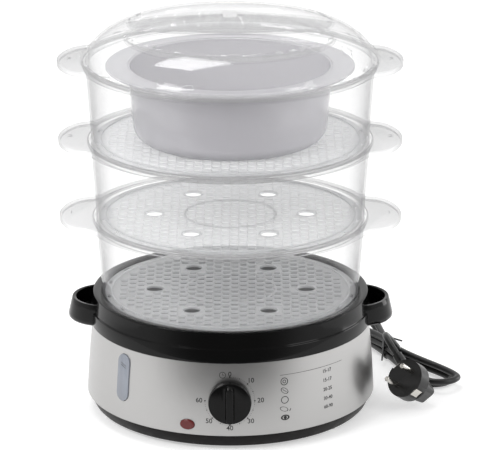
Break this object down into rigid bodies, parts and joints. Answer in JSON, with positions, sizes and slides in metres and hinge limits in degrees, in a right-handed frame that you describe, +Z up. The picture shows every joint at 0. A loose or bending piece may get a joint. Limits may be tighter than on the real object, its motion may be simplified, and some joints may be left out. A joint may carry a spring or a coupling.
{
  "type": "electric food steamer",
  "caption": "Round electric food steamer with clear stacking baskets, a rice bowl, a domed clear lid, a turn timer, a water gauge and side inlets",
  "frame": {"origin": "on the table, in the middle of the feet", "axes": "+Z up, the timer looks along -Y, the handle lobes point along +X and -X"},
  "size_m": [0.3751, 0.3895, 0.3731],
  "materials": {
    "dark_plastic": "satin black",
    "rubber": "matt",
    "screw_steel": "plain zinc",
    "brushed_steel": "brushed round the skirt",
    "gloss_black": "high gloss",
    "tank_plastic": "plain",
    "cast_aluminium": "cast and turned",
    "seal_rubber": "matt",
    "tray_plastic": "satin",
    "red_lens": "clear red",
    "window_clear": "clear, slightly blue",
    "cord_rubber": "satin",
    "clear_plastic": "clear moulded",
    "bowl_plastic": "milky clear",
    "plug_metal": "nickel plated",
    "wire_brown": "plain",
    "wire_blue": "plain",
    "wire_earth": "plain"
  },
  "bodies": {
    "base": {"base_pan": "dark_plastic", "rubber_feet": "rubber", "base_screws": "screw_steel", "steel_skirt": "brushed_steel", "collar": "gloss_black", "water_tank": "tank_plastic", "tank_screws": "screw_steel", "heater_plate": "cast_aluminium", "heater_gasket": "seal_rubber", "heater_clamp": "screw_steel", "clamp_screws": "screw_steel", "heating_element": "screw_steel", "thermostat": "screw_steel", "timer_bracket": "screw_steel", "timer_case": "tank_plastic", "timer_bell": "screw_steel", "timer_screws": "screw_steel", "lamp_lens": "red_lens", "lamp_holder": "tank_plastic", "level_window": "window_clear", "window_gasket": "seal_rubber", "gauge_duct": "tank_plastic", "terminal_block": "tray_plastic", "inner_lead": "cord_rubber", "thermal_fuse": "screw_steel", "live_wire": "wire_brown", "switched_wire": "wire_brown", "fuse_wire_in": "wire_brown", "fuse_wire_out": "wire_brown", "neutral_wire": "wire_blue", "earth_wire": "wire_earth", "lamp_lead": "tank_plastic", "cord_gland": "cord_rubber", "power_cord": "cord_rubber", "cord_hank": "cord_rubber", "cord_plug_lead": "cord_rubber", "cord_tie": "cord_rubber", "plug_body": "cord_rubber", "plug_pins": "plug_metal", "plug_earth_clips": "plug_metal"},
    "knob": {"timer_knob": "gloss_black", "timer_shaft": "screw_steel"},
    "sleeve": {"steam_sleeve": "tank_plastic"},
    "tray": {"drip_tray": "tray_plastic", "tray_chimney": "tray_plastic"},
    "basket_low": {"basket_1": "clear_plastic", "basket_1_rim": "clear_plastic", "basket_1_floor": "clear_plastic"},
    "basket_mid": {"basket_2": "clear_plastic", "basket_2_rim": "clear_plastic", "basket_2_floor": "clear_plastic"},
    "basket_top": {"basket_3": "clear_plastic", "basket_3_rim": "clear_plastic", "basket_3_floor": "clear_plastic"},
    "bowl": {"rice_bowl": "bowl_plastic", "bowl_flange": "bowl_plastic"},
    "lid": {"lid": "clear_plastic"}
  },
  "joints": [
    {"name": "knob_turn", "type": "hinge", "parent": "base", "child": "knob", "pos_m": [0, -0.14, 0.048], "axis": [0, 1, 0], "range_deg": [0, 270]},
    {"name": "basket_low_lift", "type": "slide", "parent": "base", "child": "basket_low", "axis": [0, 0, 1], "range_m": [0, 0.1]},
    {"name": "tray_lift", "type": "slide", "parent": "base", "child": "tray", "axis": [0, 0, 1], "range_m": [0, 0.05]},
    {"name": "sleeve_lift", "type": "slide", "parent": "base", "child": "sleeve", "axis": [0, 0, 1], "range_m": [0, 0.025]},
    {"name": "basket_mid_lift", "type": "slide", "parent": "basket_low", "child": "basket_mid", "axis": [0, 0, 1], "range_m": [0, 0.1]},
    {"name": "basket_top_lift", "type": "slide", "parent": "basket_mid", "child": "basket_top", "axis": [0, 0, 1], "range_m": [0, 0.1]},
    {"name": "lid_lift", "type": "slide", "parent": "basket_top", "child": "lid", "axis": [0, 0, 1], "range_m": [0, 0.1]},
    {"name": "bowl_lift", "type": "slide", "parent": "basket_top", "child": "bowl", "axis": [0, 0, 1], "range_m": [0, 0.05]}
  ],
  "couplings": [
    {"joint": "tray_lift", "follows": "basket_low_lift", "ratio": 0.5},
    {"joint": "sleeve_lift", "follows": "basket_low_lift", "ratio": 0.25},
    {"joint": "bowl_lift", "follows": "lid_lift", "ratio": 0.5}
  ]
}
